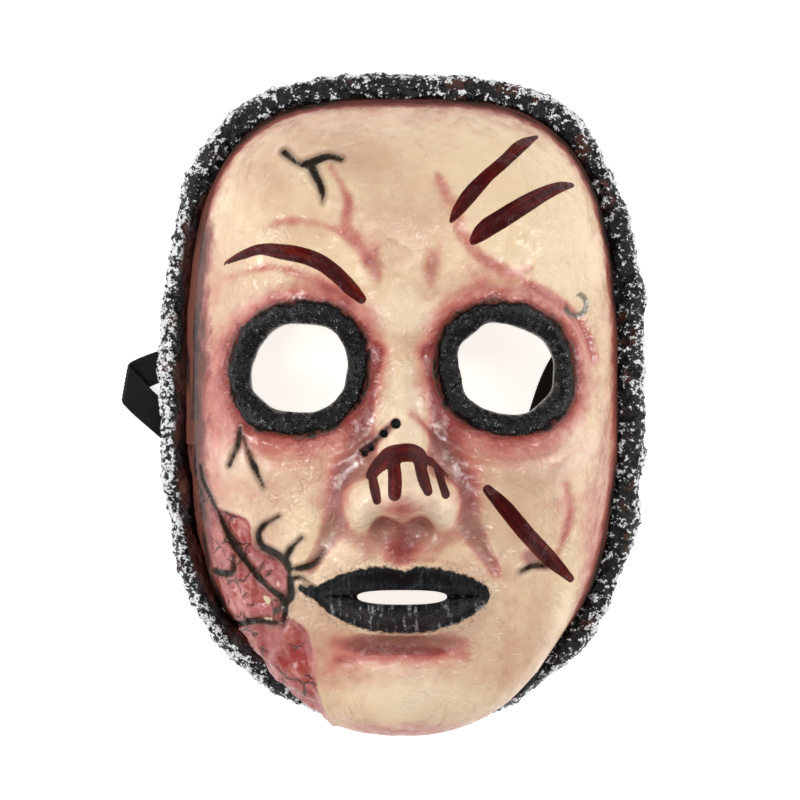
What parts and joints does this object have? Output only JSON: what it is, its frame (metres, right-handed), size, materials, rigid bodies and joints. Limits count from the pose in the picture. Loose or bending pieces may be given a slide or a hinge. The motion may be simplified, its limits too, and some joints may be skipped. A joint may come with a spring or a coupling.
{
  "type": "latex horror mask",
  "caption": "Cast latex face mask with rough-edged eye holes, a mouth slit, a rolled rough rim and an elastic head strap.",
  "frame": {"origin": "on the resting plane, under the middle of the whole mask's bounding box", "axes": "+X to the viewer's right, +Y from chin to forehead, +Z out of the face"},
  "size_m": [0.2034, 0.2568, 0.0922],
  "materials": {
    "painted_latex": "glossy painted latex skin with red, brown and black wounds",
    "black_edge": "rough black latex, dry-brushed with silver",
    "black_ring": "rough black latex with a wet gloss",
    "black_elastic": "matt woven elastic, ribbed along its length",
    "raw_latex": "matt unpainted latex"
  },
  "bodies": {
    "root": {"face_shell": "painted_latex", "edge_roll": "black_edge", "eye_ring_left": "black_ring", "eye_ring_right": "black_ring", "elastic_strap": "black_elastic", "anchor_patch_left": "raw_latex", "anchor_patch_right": "raw_latex"}
  },
  "joints": []
}
